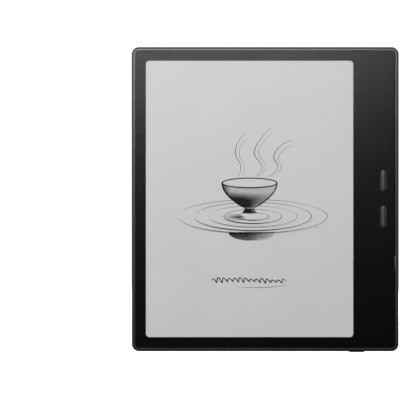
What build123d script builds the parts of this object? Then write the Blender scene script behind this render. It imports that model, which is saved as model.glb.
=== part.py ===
from build123d import *
import os

# E-reader with a page-button grip: every piece of the assembly, in millimetres.
# X runs to the reader's right, Y from the glass (low) to the leather back (high), and +Z is up.
# The origin is the centre of the housing.

# ---------------------------------------------------------------- driving dimensions
body_width = 136.5
body_height = 155.5
body_depth = 6.0
corner_radius = 3.7
side_wall = 1.5
front_chamfer = 0.85
rear_chamfer = 0.85

# Borders between the outline and the visible part of the screen
bezel_left = 7.25
bezel_top = 6.95
bezel_bottom = 7.25
grip_width = 23.25
window_radius = 1.8

# Front rim, lens and display pocket
rim_width = 1.7
lens_gap = 0.15
lens_edge_rounding = 0.2
ledge_width = 1.7
panel_gap = 0.3
drive_border = 4.2

# Layers from the glass to the back
lens_thickness = 0.7
print_thickness = 0.1
bond_thickness = 0.1
touch_thickness = 0.2
guide_thickness = 0.4
film_thickness = 0.3
backplane_thickness = 0.5
tape_thickness = 0.1
plate_thickness = 0.5
swell_gap = 0.15
cover_skin = 0.9
cover_rim = 1.15
leather_thickness = 0.4
leather_proud = 0.25
flex_thickness = 0.1
wide_flex_thickness = 0.15
flex_room = 0.5

# Grip bay and mainboard
rib_thickness = 0.8
shelf_thickness = 0.6
board_standoff = 0.75
board_thickness = 0.8
board_gap = 0.6

# Small fits
sliding_gap = 0.1
touching_gap = 0.05

# Page buttons
page_inset = 7.75
page_centre_z = 0.2
page_pitch = 18.3
page_width = 3.05
page_length = 11.3
page_proud = 0.65
page_rounding = 0.58
page_travel = 0.25
flange_border = 0.6
flange_thickness = 0.4
flange_room = 0.15
plunger_diameter = 1.6
plunger_reach = 0.3
switch_size = 3.5
switch_height = 0.7

# Power button, on the lower edge
power_x = 46.8
power_y = 0.0
power_length = 7.85
power_height = 1.8
power_proud = 0.5
power_travel = 0.25
power_web = 3.0
power_flange = 4.9
power_web_height = 0.85
power_flange_thickness = 0.5
power_rounding = 0.3
power_switch_length = 4.4

# USB-C port, on the right edge
usb_z = -33.0
usb_width = 8.94
usb_height = 3.16
usb_length = 7.35
usb_inset = 0.5
usb_wall = 0.3
tongue_width = 6.69
tongue_thickness = 0.7
tongue_base = 2.0
tongue_inset = 0.5
usb_board_gap = 0.25
usb_shelf_gap = 0.35

# Card tray and its ejector, on the right edge
tray_z = 33.0
tray_y = 0.35
tray_face_length = 16.0
tray_face_height = 1.9
tray_end_gap = 0.3
card_length = 15.0
card_width = 11.0
card_depth = 0.5
card_end_margin = 0.6
card_side_margin = 0.4
card_support = 1.0
blade_thickness = 0.7
blade_low = -7.0
blade_high = 4.8
eject_hole = 0.9
eject_z = 6.4
pivot_z = 3.0
pusher_z = -1.2
rod_width = 1.0
lever_width = 1.0
lever_thickness = 0.6
pivot_shoulder = 1.9
pivot_pin = 1.0
pivot_bore = 1.1
slider_thickness = 0.5
pusher_reach = 0.55
sheet_metal = 0.15

# Speakers and microphone
speaker_length = 18.0
speaker_width = 10.4
speaker_depth = 2.7
speaker_end = 7.25
grille_hole = 1.1
grille_pitch = 2.2
grille_count = 7
speaker_wall_gap = 0.35
speaker_corner = 0.8
speaker_rim = 1.5
diaphragm_depth = 0.4
sound_slot_depth = 1.5
mesh_thickness = 0.2
mesh_margin = 0.35
microphone_z = -43.0
microphone_size = 3.2
microphone_width = 2.3
microphone_height = 1.0
microphone_hole = 0.8
microphone_setback = 0.25

# Battery
battery_height = 112.0
battery_radius = 2.5
battery_rounding = 0.5
battery_tape_border = 8.0
magnet_lane = 6.75
connector_lane = 11.5

# Leather panels on the back
leather_inset = 1.7
leather_groove = 1.35
grip_panel_width = 22.45
leather_corner_radius = 1.6
leather_edge = 0.18
emblem_length = 19.0
emblem_width = 5.0
emblem_line = 0.5
emblem_depth = 0.15

# ---------------------------------------------------------------- derived levels and edges
half_width = body_width / 2
half_height = body_height / 2
front_y = -body_depth / 2
back_y = body_depth / 2

lens_back = front_y + lens_thickness
print_back = lens_back + print_thickness
ledge_y = print_back + bond_thickness
touch_back = print_back + touch_thickness
guide_back = touch_back + guide_thickness
film_back = guide_back + film_thickness
backplane_back = film_back + backplane_thickness
pocket_floor = backplane_back + tape_thickness
plate_back = pocket_floor + plate_thickness

cover_outer = back_y - leather_proud
cover_inner = cover_outer - cover_skin
parting_y = cover_outer - cover_rim
leather_floor = back_y - leather_thickness

shelf_back = ledge_y + shelf_thickness
board_front = shelf_back + board_standoff
board_back = board_front + board_thickness
port_y = (board_front + board_back) / 2


def inset(span, amount):
    """The same (low, high) span, pulled in by one amount at both ends."""
    return (span[0] + amount, span[1] - amount)


def around(centre, size):
    """The (low, high) span of one size about a centre."""
    return (centre - size / 2, centre + size / 2)


housing_x = (-half_width, half_width)
housing_z = (-half_height, half_height)
lens_x = inset(housing_x, rim_width + lens_gap)
lens_z = inset(housing_z, rim_width + lens_gap)
lens_radius = corner_radius - rim_width - lens_gap
window_x = (-half_width + bezel_left, half_width - grip_width)
window_z = (-half_height + bezel_bottom, half_height - bezel_top)

pocket_x = (-half_width + rim_width + ledge_width, window_x[1] + drive_border + panel_gap)
pocket_z = inset(housing_z, rim_width + ledge_width)
pocket_radius = 0.8
panel_x = inset(pocket_x, panel_gap)
panel_z = inset(pocket_z, panel_gap)
panel_radius = 0.5

rib_x = (pocket_x[1], pocket_x[1] + rib_thickness)
bay_x = inset(housing_x, side_wall)
bay_z = inset(housing_z, side_wall)
bay_radius = corner_radius - side_wall
grip_bay_x = (rib_x[1], bay_x[1])

speaker_right = bay_x[1] - speaker_wall_gap
speaker_x = (speaker_right - speaker_width, speaker_right)
speaker_y = (shelf_back + sliding_gap, shelf_back + sliding_gap + speaker_depth)
upper_speaker_z = (bay_z[1] - speaker_end - speaker_length, bay_z[1] - speaker_end)
lower_speaker_z = (bay_z[0] + speaker_end, bay_z[0] + speaker_end + speaker_length)

board_end_gap = 2.0
board_x = inset(grip_bay_x, board_gap)
board_z = (lower_speaker_z[1] + board_end_gap, upper_speaker_z[0] - board_end_gap)

page_x = half_width - page_inset
page_places = {
    "upper": page_centre_z + page_pitch / 2,
    "lower": page_centre_z - page_pitch / 2,
}
flange_front = print_back + touching_gap
flange_back = flange_front + flange_thickness
flange_width = page_width + 2 * flange_border
flange_length = page_length + 2 * flange_border
plunger_tip = board_front - switch_height + plunger_reach
switch_y = (board_front - switch_height, board_front)
switch_bore = plunger_reach + page_travel + touching_gap

power_mouth = -half_height
power_cap_z = (power_mouth - power_proud, bay_z[0] - power_travel)
power_pocket_z = (power_mouth, bay_z[0] + touching_gap)
power_flange_z = (bay_z[0] + touching_gap, bay_z[0] + touching_gap + power_flange_thickness)
power_web_y = (power_y - sliding_gap, power_y - sliding_gap + power_web_height)

usb_x = (half_width - usb_inset - usb_length, half_width - usb_inset)
usb_cutout_z = around(usb_z, usb_width + 2 * usb_board_gap)
usb_cutout_x = (usb_x[0] - 2 * usb_board_gap, board_x[1])

blade_front = tray_y - sliding_gap - touching_gap
blade_y = (blade_front, blade_front + blade_thickness)
blade_x = (rib_x[1] + tray_end_gap, bay_x[1])
blade_z = (tray_z + blade_low, tray_z + blade_high)
rod_z = tray_z + eject_z
rod_y = (board_back + touching_gap, board_back + touching_gap + blade_thickness)
lever_y = (board_back + touching_gap, board_back + touching_gap + lever_thickness)
pivot_point_z = tray_z + pivot_z
pusher_point_z = tray_z + pusher_z
slider_bar_x = (blade_x[0] - sliding_gap - slider_thickness, blade_x[0] - sliding_gap)
pusher_nose_x = slider_bar_x[0] - pusher_reach
lever_face_x = pusher_nose_x - touching_gap
pivot_x = lever_face_x - lever_width / 2

battery_x = (bay_x[0] + magnet_lane, pocket_x[1] - connector_lane)
battery_z = (-battery_height / 2, battery_height / 2)
battery_y = (plate_back + tape_thickness, cover_inner - swell_gap)

# Places that several pieces share
led_strip_width = 1.75
guide_setback = 1.0
led_strip_z = (panel_z[0], panel_z[0] + led_strip_width)
guide_x = (panel_x[0], panel_x[1] - guide_setback)
guide_z = (led_strip_z[1] + touching_gap, panel_z[1])
frontlight_tail_x = (rib_x[1] + 0.3, rib_x[1] + 2.5)
frontlight_socket_z = (board_z[0] + 1.4, board_z[0] + 4.8)
display_flex_z = (-13.0, 13.0)
touch_flex_z = (30.0, 38.0)
touch_fold_x = (rib_x[1] + 0.9, rib_x[1] + 1.0)
power_tail_x = (rib_x[1] + 0.7, rib_x[1] + 2.7)
battery_flex_z = (8.0, 14.0)
battery_socket_x = (board_x[0] + 1.9, board_x[0] + 4.3)
socket_back = 0.6
antenna_tail_x = (board_x[0] + 0.4, board_x[0] + 3.4)
antenna_spring_z = (board_z[1] - 4.7, board_z[1] - 2.7)
screw_places = [
    (board_x[1] - 2.15, board_z[1] - 2.8),
    (board_x[0] + 6.1, board_z[0] + 3.0),
    (board_x[0] + 2.3, 19.5),
    (board_x[0] + 2.3, -27.0),
]
screw_boss = 3.2
screw_shank = 1.1
screw_pilot = 1.2
screw_clearance = 1.5
screw_head = 2.4
screw_head_height = 0.5
screw_bite = 0.8

# Snap tabs hold the rear cover: (wall, place along that wall)
snap_places = [
    ("left", -52.0),
    ("left", 0.0),
    ("left", 52.0),
    ("top", -44.0),
    ("top", -6.0),
    ("top", 30.0),
    ("bottom", -44.0),
    ("bottom", -6.0),
    ("bottom", 30.0),
    ("right", -18.0),
    ("right", 14.0),
]
snap_length = 6.0
snap_thickness = 0.8
snap_front = 0.5
snap_barb = 0.25
snap_barb_height = 0.3
snap_notch = 0.4
snap_notch_height = 0.5

leather_x = inset(housing_x, leather_inset)
leather_z = inset(housing_z, leather_inset)
grip_panel_x = (leather_x[1] - grip_panel_width, leather_x[1])
main_panel_x = (leather_x[0], grip_panel_x[0] - leather_groove)


# ---------------------------------------------------------------- shapes that repeat
def block(x, y, z, mode=Mode.ADD):
    """A box between (low, high) spans along each axis."""
    with Locations((sum(x) / 2, sum(y) / 2, sum(z) / 2)):
        Box(x[1] - x[0], y[1] - y[0], z[1] - z[0], mode=mode)


def slab(x, z, y, radius, mode=Mode.ADD):
    """A flat plate with rounded corners, as thick as its Y span."""
    with BuildSketch(Plane.XZ.offset(-y[1])) as outline:
        with Locations((sum(x) / 2, sum(z) / 2)):
            RectangleRounded(x[1] - x[0], z[1] - z[0], radius)
    extrude(outline.sketch, amount=y[1] - y[0], mode=mode)


def pill(x, z, width, length, y, mode=Mode.ADD):
    """An upright round-ended plate about (x, z), as thick as its Y span."""
    with BuildSketch(Plane.XZ.offset(-y[1])) as outline:
        with Locations((x, z)):
            SlotOverall(length, width, rotation=90)
    extrude(outline.sketch, amount=y[1] - y[0], mode=mode)


def post(x, z, diameter, y, mode=Mode.ADD):
    """A round post along Y."""
    with BuildSketch(Plane.XZ.offset(-y[1])) as outline:
        with Locations((x, z)):
            Circle(diameter / 2)
    extrude(outline.sketch, amount=y[1] - y[0], mode=mode)


def side_slot(y, z, height, length, x, mode=Mode.ADD):
    """A round-ended bar seen from the right edge, as deep as its X span."""
    with BuildSketch(Plane.YZ.offset(x[0])) as outline:
        with Locations((y, z)):
            SlotOverall(length, height, rotation=90)
    extrude(outline.sketch, amount=x[1] - x[0], mode=mode)


def side_hole(y, z, diameter, x, mode=Mode.SUBTRACT):
    """A round hole or post along X."""
    with BuildSketch(Plane.YZ.offset(x[0])) as outline:
        with Locations((y, z)):
            Circle(diameter / 2)
    extrude(outline.sketch, amount=x[1] - x[0], mode=mode)


def end_slot(x, y, length, height, z, mode=Mode.ADD):
    """A round-ended bar seen from the lower edge, as tall as its Z span."""
    with BuildSketch(Plane.XY.offset(z[0])) as outline:
        with Locations((x, y)):
            SlotOverall(length, height)
    extrude(outline.sketch, amount=z[1] - z[0], mode=mode)


def beside_wall(wall, place, near, far, length):
    """X and Z spans of a box from near to far inward of one wall's inner face."""
    along = around(place, length)
    if wall == "left":
        return (bay_x[0] + near, bay_x[0] + far), along
    if wall == "right":
        return (bay_x[1] - far, bay_x[1] - near), along
    if wall == "bottom":
        return along, (bay_z[0] + near, bay_z[0] + far)
    return along, (bay_z[1] - far, bay_z[1] - near)


os.makedirs("parts", exist_ok=True)

# ---------------------------------------------------------------- mid frame
# One casting: rim, display pocket, plate behind the display, rib and grip bay.
with BuildPart() as mid_frame:
    slab(housing_x, housing_z, (front_y, parting_y), corner_radius)
    chamfer(mid_frame.faces().sort_by(Axis.Y)[0].edges(), front_chamfer)
    slab(
        inset(housing_x, rim_width),
        inset(housing_z, rim_width),
        (front_y, ledge_y),
        corner_radius - rim_width,
        mode=Mode.SUBTRACT,
    )
    slab(pocket_x, pocket_z, (ledge_y, pocket_floor), pocket_radius, mode=Mode.SUBTRACT)
    slab(bay_x, bay_z, (plate_back, parting_y), bay_radius, mode=Mode.SUBTRACT)
    slab(grip_bay_x, bay_z, (shelf_back, plate_back), pocket_radius, mode=Mode.SUBTRACT)
    # Windows in the front shelf for the page-button flanges, the USB-C shell and the touch flex
    for place in page_places.values():
        pill(
            page_x,
            place,
            flange_width + 2 * flange_room,
            flange_length + 2 * flange_room,
            (ledge_y, shelf_back),
            mode=Mode.SUBTRACT,
        )
    block(
        (usb_x[0] - usb_shelf_gap, bay_x[1]),
        (ledge_y, shelf_back),
        around(usb_z, usb_width + 2 * usb_shelf_gap),
        mode=Mode.SUBTRACT,
    )
    block(
        (grip_bay_x[0], touch_fold_x[1] + panel_gap),
        (ledge_y, shelf_back),
        inset(touch_flex_z, -flex_room),
        mode=Mode.SUBTRACT,
    )
    # Slots in the rib for the three flexes of the display
    block(
        rib_x,
        (ledge_y, touch_back + flex_thickness + sliding_gap),
        inset(touch_flex_z, -flex_room),
        mode=Mode.SUBTRACT,
    )
    block(
        rib_x,
        (film_back - flex_thickness - sliding_gap, film_back + sliding_gap),
        inset(display_flex_z, -flex_room),
        mode=Mode.SUBTRACT,
    )
    block(
        rib_x,
        (guide_back, film_back + sliding_gap),
        inset(led_strip_z, -2 * sliding_gap),
        mode=Mode.SUBTRACT,
    )
    # Openings in the right wall
    side_slot(
        port_y,
        usb_z,
        usb_height + 2 * sliding_gap,
        usb_width + 2 * sliding_gap,
        (bay_x[1], half_width),
        mode=Mode.SUBTRACT,
    )
    side_slot(
        tray_y,
        tray_z,
        tray_face_height + 2 * sliding_gap,
        tray_face_length + 2 * sliding_gap,
        (bay_x[1], half_width),
        mode=Mode.SUBTRACT,
    )
    for speaker_z in (upper_speaker_z, lower_speaker_z):
        middle = sum(speaker_z) / 2
        for step in range(grille_count):
            offset_z = (step - (grille_count - 1) / 2) * grille_pitch
            side_hole(sum(speaker_y) / 2, middle + offset_z, grille_hole, (bay_x[1], half_width))
    side_hole(
        board_back + microphone_height / 2,
        microphone_z,
        microphone_hole,
        (bay_x[1], half_width),
    )
    # Pocket for the power button in the lower wall
    end_slot(
        power_x,
        power_y,
        power_length + 2 * sliding_gap,
        power_height + 2 * sliding_gap,
        power_pocket_z,
        mode=Mode.SUBTRACT,
    )
    # Notches for the snap tabs of the rear cover
    for wall, place in snap_places:
        x, z = beside_wall(wall, place, -snap_notch, 0, snap_length + 2 * sliding_gap)
        block(x, (snap_front, snap_front + snap_notch_height), z, mode=Mode.SUBTRACT)
    # Bosses for the board screws
    for x, z in screw_places:
        post(x, z, screw_boss, (shelf_back, board_front))
        post(x, z, screw_pilot, (board_front - screw_bite, board_front), mode=Mode.SUBTRACT)
    # Shoulder and pin that the eject lever turns on
    post(pivot_x, pivot_point_z, pivot_shoulder, (plate_back, lever_y[0] - touching_gap))
    post(pivot_x, pivot_point_z, pivot_pin, (plate_back, lever_y[1] + 2 * sliding_gap))
mid_frame.part.label = "mid_frame"
export_step(mid_frame.part, "parts/mid_frame.step")

# ---------------------------------------------------------------- rear cover and its leather
with BuildPart() as rear_cover:
    slab(housing_x, housing_z, (parting_y, cover_outer), corner_radius)
    chamfer(rear_cover.faces().sort_by(Axis.Y)[-1].edges(), rear_chamfer)
    slab(bay_x, bay_z, (parting_y, cover_inner), bay_radius, mode=Mode.SUBTRACT)
    for panel_span in (main_panel_x, grip_panel_x):
        slab(
            inset(panel_span, -touching_gap),
            inset(leather_z, -touching_gap),
            (leather_floor, cover_outer),
            leather_corner_radius,
            mode=Mode.SUBTRACT,
        )
    for wall, place in snap_places:
        x, z = beside_wall(wall, place, sliding_gap, sliding_gap + snap_thickness, snap_length)
        block(x, (snap_front, cover_inner), z)
        x, z = beside_wall(wall, place, -snap_barb, sliding_gap, snap_length)
        block(x, (snap_front + sliding_gap, snap_front + sliding_gap + snap_barb_height), z)
rear_cover.part.label = "rear_cover"
export_step(rear_cover.part, "parts/rear_cover.step")

with BuildPart() as main_leather_panel:
    slab(main_panel_x, leather_z, (leather_floor, back_y), leather_corner_radius)
    fillet(main_leather_panel.faces().sort_by(Axis.Y)[-1].edges(), leather_edge)
main_leather_panel.part.label = "main_leather_panel"
export_step(main_leather_panel.part, "parts/main_leather_panel.step")

with BuildPart() as grip_leather_panel:
    slab(grip_panel_x, leather_z, (leather_floor, back_y), leather_corner_radius)
    fillet(grip_leather_panel.faces().sort_by(Axis.Y)[-1].edges(), leather_edge)
    # Pressed outline of a plain capsule
    pill(
        sum(grip_panel_x) / 2,
        0,
        emblem_width,
        emblem_length,
        (back_y - emblem_depth, back_y),
        mode=Mode.SUBTRACT,
    )
    pill(
        sum(grip_panel_x) / 2,
        0,
        emblem_width - 2 * emblem_line,
        emblem_length - 2 * emblem_line,
        (back_y - emblem_depth, back_y),
    )
grip_leather_panel.part.label = "grip_leather_panel"
export_step(grip_leather_panel.part, "parts/grip_leather_panel.step")

# ---------------------------------------------------------------- lens and what is bonded to it
with BuildPart() as cover_lens:
    slab(lens_x, lens_z, (front_y, lens_back), lens_radius)
    fillet(cover_lens.faces().sort_by(Axis.Y)[0].edges(), lens_edge_rounding)
    for place in page_places.values():
        pill(
            page_x,
            place,
            page_width + 2 * sliding_gap,
            page_length + 2 * sliding_gap,
            (front_y, lens_back),
            mode=Mode.SUBTRACT,
        )
cover_lens.part.label = "cover_lens"
export_step(cover_lens.part, "parts/cover_lens.step")

with BuildPart() as lens_mask:
    slab(lens_x, lens_z, (lens_back, print_back), lens_radius)
    slab(window_x, window_z, (lens_back, print_back), window_radius, mode=Mode.SUBTRACT)
    for place in page_places.values():
        pill(
            page_x,
            place,
            page_width + 2 * sliding_gap,
            page_length + 2 * sliding_gap,
            (lens_back, print_back),
            mode=Mode.SUBTRACT,
        )
lens_mask.part.label = "lens_mask"
export_step(lens_mask.part, "parts/lens_mask.step")

with BuildPart() as optical_adhesive:
    slab(window_x, window_z, (lens_back, print_back), window_radius)
optical_adhesive.part.label = "optical_adhesive"
export_step(optical_adhesive.part, "parts/optical_adhesive.step")

with BuildPart() as lens_adhesive:
    slab(lens_x, lens_z, (print_back, ledge_y), lens_radius)
    slab(pocket_x, pocket_z, (print_back, ledge_y), pocket_radius, mode=Mode.SUBTRACT)
    for place in page_places.values():
        pill(
            page_x,
            place,
            flange_width + 2 * flange_room,
            flange_length + 2 * flange_room,
            (print_back, ledge_y),
            mode=Mode.SUBTRACT,
        )
lens_adhesive.part.label = "lens_adhesive"
export_step(lens_adhesive.part, "parts/lens_adhesive.step")

# ---------------------------------------------------------------- display stack
with BuildPart() as touch_sensor:
    slab(panel_x, panel_z, (print_back, touch_back), panel_radius)
touch_sensor.part.label = "touch_sensor"
export_step(touch_sensor.part, "parts/touch_sensor.step")

with BuildPart() as light_guide:
    slab(guide_x, guide_z, (touch_back, guide_back), panel_radius)
light_guide.part.label = "light_guide"
export_step(light_guide.part, "parts/light_guide.step")

led_count = 14
led_length = 3.0
led_height = 1.0
with BuildPart() as frontlight_leds:
    for step in range(led_count):
        led_x = window_x[0] + (step + 0.5) * (window_x[1] - window_x[0]) / led_count
        block(
            around(led_x, led_length),
            (touch_back, guide_back),
            (led_strip_z[1] - led_height, led_strip_z[1]),
        )
frontlight_leds.part.label = "frontlight_leds"
export_step(frontlight_leds.part, "parts/frontlight_leds.step")

# A strip under the LEDs, and a tail through the rib and up the grip bay
tail_front = shelf_back
tail_back = shelf_back + wide_flex_thickness
with BuildPart() as frontlight_flex:
    block(panel_x, (guide_back, film_back), led_strip_z)
    block((panel_x[1], frontlight_tail_x[1]), (tail_front, tail_back), led_strip_z)
    block(frontlight_tail_x, (tail_front, tail_back), (led_strip_z[0], frontlight_socket_z[1]))
frontlight_flex.part.label = "frontlight_flex"
export_step(frontlight_flex.part, "parts/frontlight_flex.step")

film_right = window_x[1] + 0.8
with BuildPart() as eink_film:
    slab((panel_x[0], film_right), guide_z, (guide_back, film_back), panel_radius)
eink_film.part.label = "eink_film"
export_step(eink_film.part, "parts/eink_film.step")

with BuildPart() as eink_backplane:
    slab(panel_x, panel_z, (film_back, backplane_back), panel_radius)
eink_backplane.part.label = "eink_backplane"
export_step(eink_backplane.part, "parts/eink_backplane.step")

driver_chip_x = (film_right + 0.4, film_right + 1.4)
driver_chip_length = 18.0
driver_chip_pitch = 36.0
with BuildPart() as display_driver_chips:
    for step in (-1, 0, 1):
        block(
            driver_chip_x,
            (guide_back + touching_gap, film_back),
            around(step * driver_chip_pitch, driver_chip_length),
        )
display_driver_chips.part.label = "display_driver_chips"
export_step(display_driver_chips.part, "parts/display_driver_chips.step")

display_socket_x = (rib_x[1] + 0.9, rib_x[1] + 3.1)
with BuildPart() as display_flex:
    block(
        (driver_chip_x[1] + 0.4, display_socket_x[1]),
        (film_back - flex_thickness, film_back),
        display_flex_z,
    )
display_flex.part.label = "display_flex"
export_step(display_flex.part, "parts/display_flex.step")

# From the back of the touch sensor over the rib, down through the shelf and onto a socket
touch_socket_x = (touch_fold_x[0] + 0.2, touch_fold_x[0] + 1.8)
touch_foot_y = (tail_back - flex_thickness, tail_back)
with BuildPart() as touch_flex:
    block((guide_x[1] + 0.2, touch_fold_x[1]), (touch_back, touch_back + flex_thickness), touch_flex_z)
    block(touch_fold_x, (touch_back, touch_foot_y[1]), touch_flex_z)
    block((touch_fold_x[0], touch_socket_x[1]), touch_foot_y, touch_flex_z)
touch_flex.part.label = "touch_flex"
export_step(touch_flex.part, "parts/touch_flex.step")

tape_border = 2.0
with BuildPart() as display_tape:
    slab(
        inset(panel_x, tape_border),
        inset(panel_z, tape_border),
        (backplane_back, pocket_floor),
        panel_radius,
    )
display_tape.part.label = "display_tape"
export_step(display_tape.part, "parts/display_tape.step")

# ---------------------------------------------------------------- battery
with BuildPart() as battery:
    slab(battery_x, battery_z, battery_y, battery_radius)
    fillet(battery.faces().sort_by(Axis.Y)[-1].edges(), battery_rounding)
battery.part.label = "battery"
export_step(battery.part, "parts/battery.step")

with BuildPart() as battery_tape:
    for place in (-1, 1):
        slab(
            inset(battery_x, battery_tape_border),
            around(place * battery_height / 4, battery_height / 3),
            (plate_back, battery_y[0]),
            panel_radius,
        )
battery_tape.part.label = "battery_tape"
export_step(battery_tape.part, "parts/battery_tape.step")

protection_x = (battery_x[1] + 0.2, battery_x[1] + 4.0)
protection_y = (battery_y[0], board_back + socket_back)
with BuildPart() as battery_protection_board:
    block(protection_x, protection_y, (-18.0, 18.0))
battery_protection_board.part.label = "battery_protection_board"
export_step(battery_protection_board.part, "parts/battery_protection_board.step")

with BuildPart() as battery_flex:
    block(
        (protection_x[1] - 1.0, battery_socket_x[1]),
        (protection_y[1], protection_y[1] + flex_thickness),
        battery_flex_z,
    )
battery_flex.part.label = "battery_flex"
export_step(battery_flex.part, "parts/battery_flex.step")

with BuildPart() as battery_connector:
    block(battery_socket_x, (board_back, protection_y[1]), inset(battery_flex_z, -0.2))
battery_connector.part.label = "battery_connector"
export_step(battery_connector.part, "parts/battery_connector.step")

# ---------------------------------------------------------------- mainboard and what it carries
with BuildPart() as mainboard:
    block(board_x, (board_front, board_back), board_z)
    block(usb_cutout_x, (board_front, board_back), usb_cutout_z, mode=Mode.SUBTRACT)
    for x, z in screw_places:
        post(x, z, screw_clearance, (board_front, board_back), mode=Mode.SUBTRACT)
mainboard.part.label = "mainboard"
export_step(mainboard.part, "parts/mainboard.step")

with BuildPart() as board_screws:
    for x, z in screw_places:
        post(x, z, screw_head, (board_back, board_back + screw_head_height))
        post(x, z, screw_shank, (board_front - screw_bite + touching_gap, board_back))
board_screws.part.label = "board_screws"
export_step(board_screws.part, "parts/board_screws.step")

shield_height = 1.4
shield_wall = 0.2
shield_x = (board_x[0] + 1.3, board_x[1] - 1.35)
processor_shield_z = (-22.0, 2.0)
power_shield_x = (board_x[0] + 5.7, board_x[1] - 1.35)
power_shield_z = (5.0, 22.0)


def shield_can(x, z):
    """A sheet-metal lid that stands on the board, open towards it."""
    block(x, (board_back, board_back + shield_height), z)
    block(
        inset(x, shield_wall),
        (board_back, board_back + shield_height - shield_wall),
        inset(z, shield_wall),
        mode=Mode.SUBTRACT,
    )


with BuildPart() as processor_shield:
    shield_can(shield_x, processor_shield_z)
processor_shield.part.label = "processor_shield"
export_step(processor_shield.part, "parts/processor_shield.step")

with BuildPart() as power_shield:
    shield_can(power_shield_x, power_shield_z)
power_shield.part.label = "power_shield"
export_step(power_shield.part, "parts/power_shield.step")

# Processor, memory and power chips, as (shield X, shield Z, place in it, width, length, height)
chips = [
    (shield_x, processor_shield_z, -5.5, 11.0, 11.0, 1.0),
    (shield_x, processor_shield_z, 5.5, 9.0, 9.0, 0.9),
    (power_shield_x, power_shield_z, -3.5, 6.0, 6.0, 0.8),
    (power_shield_x, power_shield_z, 4.0, 4.5, 4.5, 0.8),
]
with BuildPart() as board_chips:
    for can_x, can_z, place, width, length, height in chips:
        block(
            around(sum(can_x) / 2, width),
            (board_back, board_back + height),
            around(sum(can_z) / 2 + place, length),
        )
board_chips.part.label = "board_chips"
export_step(board_chips.part, "parts/board_chips.step")

# Sockets on the front of the board: display, touch and frontlight
with BuildPart() as board_connectors:
    block(display_socket_x, (film_back, board_front), inset(display_flex_z, 0.5))
    block(touch_socket_x, (touch_foot_y[1], board_front), inset(touch_flex_z, 0.5))
    block(
        (frontlight_tail_x[0] + 0.5, frontlight_tail_x[1] + 0.4),
        (tail_back, board_front),
        frontlight_socket_z,
    )
board_connectors.part.label = "board_connectors"
export_step(board_connectors.part, "parts/board_connectors.step")

# ---------------------------------------------------------------- USB-C port
solder_tab_height = 0.2
solder_tab_reach = 1.13
with BuildPart() as usb_port_shell:
    side_slot(port_y, usb_z, usb_height, usb_width, usb_x)
    side_slot(
        port_y,
        usb_z,
        usb_height - 2 * usb_wall,
        usb_width - 2 * usb_wall,
        (usb_x[0] + usb_wall, usb_x[1]),
        mode=Mode.SUBTRACT,
    )
    for side in (-1, 1):
        edge_z = usb_z + side * (usb_width / 2 - 0.25)
        tip_z = usb_z + side * (usb_width / 2 + solder_tab_reach)
        for tab_x in (usb_x[0] + 0.8, usb_x[0] + 3.8):
            block(
                (tab_x, tab_x + 1.8),
                (board_back, board_back + solder_tab_height),
                (min(edge_z, tip_z), max(edge_z, tip_z)),
            )
usb_port_shell.part.label = "usb_port_shell"
export_step(usb_port_shell.part, "parts/usb_port_shell.step")

with BuildPart() as usb_port_tongue:
    side_slot(
        port_y,
        usb_z,
        usb_height - 2 * usb_wall,
        usb_width - 2 * usb_wall,
        (usb_x[0] + usb_wall, usb_x[0] + usb_wall + tongue_base),
    )
    block(
        (usb_x[0] + usb_wall + tongue_base, usb_x[1] - tongue_inset),
        around(port_y, tongue_thickness),
        around(usb_z, tongue_width),
    )
usb_port_tongue.part.label = "usb_port_tongue"
export_step(usb_port_tongue.part, "parts/usb_port_tongue.step")

# ---------------------------------------------------------------- card tray and ejector
cage_roof_y = (blade_y[1] + sliding_gap, blade_y[1] + sliding_gap + sheet_metal)
cage_x = (board_x[0] + 0.1, bay_x[1] - 0.75)
cage_walls = [
    blade_z[0] - sliding_gap - sheet_metal,
    blade_z[1] + sliding_gap,
    rod_z + rod_width / 2 + sliding_gap,
]
with BuildPart() as card_cage:
    for low in cage_walls:
        block(cage_x, (board_back, cage_roof_y[1]), (low, low + sheet_metal))
    block(
        (pivot_x - 1.0, cage_x[1]),
        cage_roof_y,
        (cage_walls[0], cage_walls[2] + sheet_metal),
    )
card_cage.part.label = "card_cage"
export_step(card_cage.part, "parts/card_cage.step")

card_low_x = blade_x[0] + card_end_margin
card_low_z = blade_z[0] + card_side_margin
card_x = (card_low_x, card_low_x + card_length)
card_z = (card_low_z, card_low_z + card_width)
with BuildPart() as card_tray:
    side_slot(tray_y, tray_z, tray_face_height, tray_face_length, (bay_x[1], half_width))
    block(blade_x, blade_y, blade_z)
    block(card_x, (blade_y[1] - card_depth, blade_y[1]), card_z, mode=Mode.SUBTRACT)
    block(inset(card_x, card_support), blade_y, inset(card_z, card_support), mode=Mode.SUBTRACT)
    side_hole(tray_y, rod_z, eject_hole, (bay_x[1], half_width))
card_tray.part.label = "card_tray"
export_step(card_tray.part, "parts/card_tray.step")

slider_bar_z = (tray_z - 5.5, tray_z + 1.5)
with BuildPart() as eject_slider:
    block(slider_bar_x, blade_y, slider_bar_z)
    block(
        (pusher_nose_x + rod_width / 2, slider_bar_x[0]),
        blade_y,
        around(pusher_point_z, rod_width),
    )
    post(pusher_nose_x + rod_width / 2, pusher_point_z, rod_width, blade_y)
eject_slider.part.label = "eject_slider"
export_step(eject_slider.part, "parts/eject_slider.step")

lever_z = (pusher_point_z - lever_width / 2, rod_z + lever_width / 2)
with BuildPart() as eject_lever:
    block((lever_face_x - lever_width, lever_face_x), lever_y, lever_z)
    post(pivot_x, pivot_point_z, pivot_shoulder, lever_y)
    post(pivot_x, pivot_point_z, pivot_bore, lever_y, mode=Mode.SUBTRACT)
eject_lever.part.label = "eject_lever"
export_step(eject_lever.part, "parts/eject_lever.step")

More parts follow.
